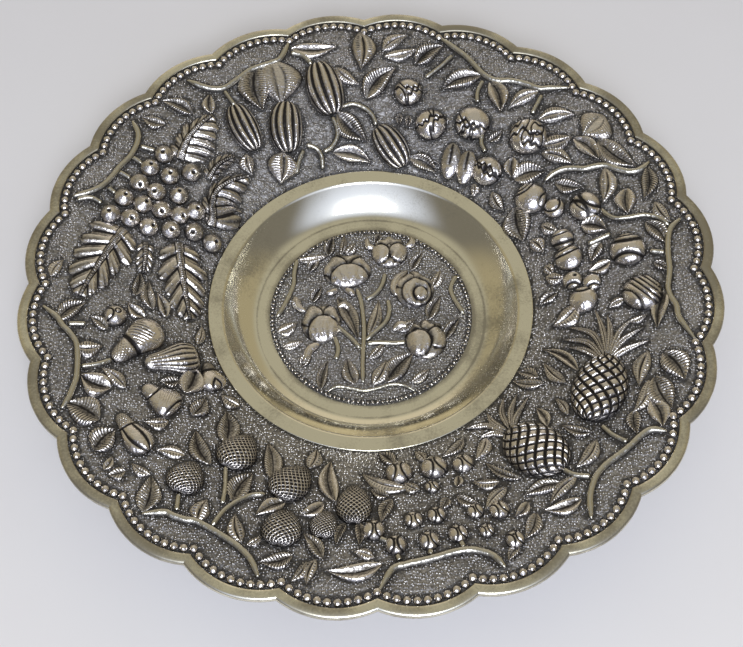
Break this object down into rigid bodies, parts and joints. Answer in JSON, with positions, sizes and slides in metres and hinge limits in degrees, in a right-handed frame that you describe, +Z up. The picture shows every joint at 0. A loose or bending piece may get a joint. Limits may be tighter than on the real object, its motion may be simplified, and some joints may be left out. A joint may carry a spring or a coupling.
{
  "type": "offering plate",
  "caption": "Round silver offering plate with a scalloped beaded rim, a repoussé fruit and leaf border, a plain polished well and a flower medallion.",
  "frame": {"origin": "centre of the flat base", "axes": "+Z is up through the plate's middle, -Y is the foot of the medallion's spray, the side nearest the viewer in the picture"},
  "size_m": [0.3378, 0.3378, 0.0405],
  "materials": {
    "polished_silver": "polished, warm tarnish",
    "relief_silver": "polished on the high points, dark in the creases",
    "branch_silver": "satin",
    "matted_ground": "punched stipple, oxidised"
  },
  "bodies": {
    "root": {"rim_binding": "polished_silver", "bead_border": "relief_silver", "border_sheet": "matted_ground", "well_dish": "polished_silver", "medallion_disc": "matted_ground", "medallion_dots": "relief_silver", "medallion_stems": "branch_silver", "medallion_blossoms": "relief_silver", "medallion_leaves": "relief_silver", "branch_ridges": "branch_silver", "fruit_stems": "branch_silver", "grapes": "relief_silver", "vine_leaves": "relief_silver", "gourds": "relief_silver", "gourd_leaves": "relief_silver", "pomegranates": "relief_silver", "pomegranate_leaves": "relief_silver", "split_fruits": "relief_silver", "fig_leaves": "relief_silver", "pineapples": "relief_silver", "pineapple_crowns": "relief_silver", "pineapple_leaves": "relief_silver", "cherries": "relief_silver", "cherry_leaves": "relief_silver", "strawberries": "relief_silver", "strawberry_leaves": "relief_silver", "pears": "relief_silver", "pear_leaves": "relief_silver"}
  },
  "joints": []
}
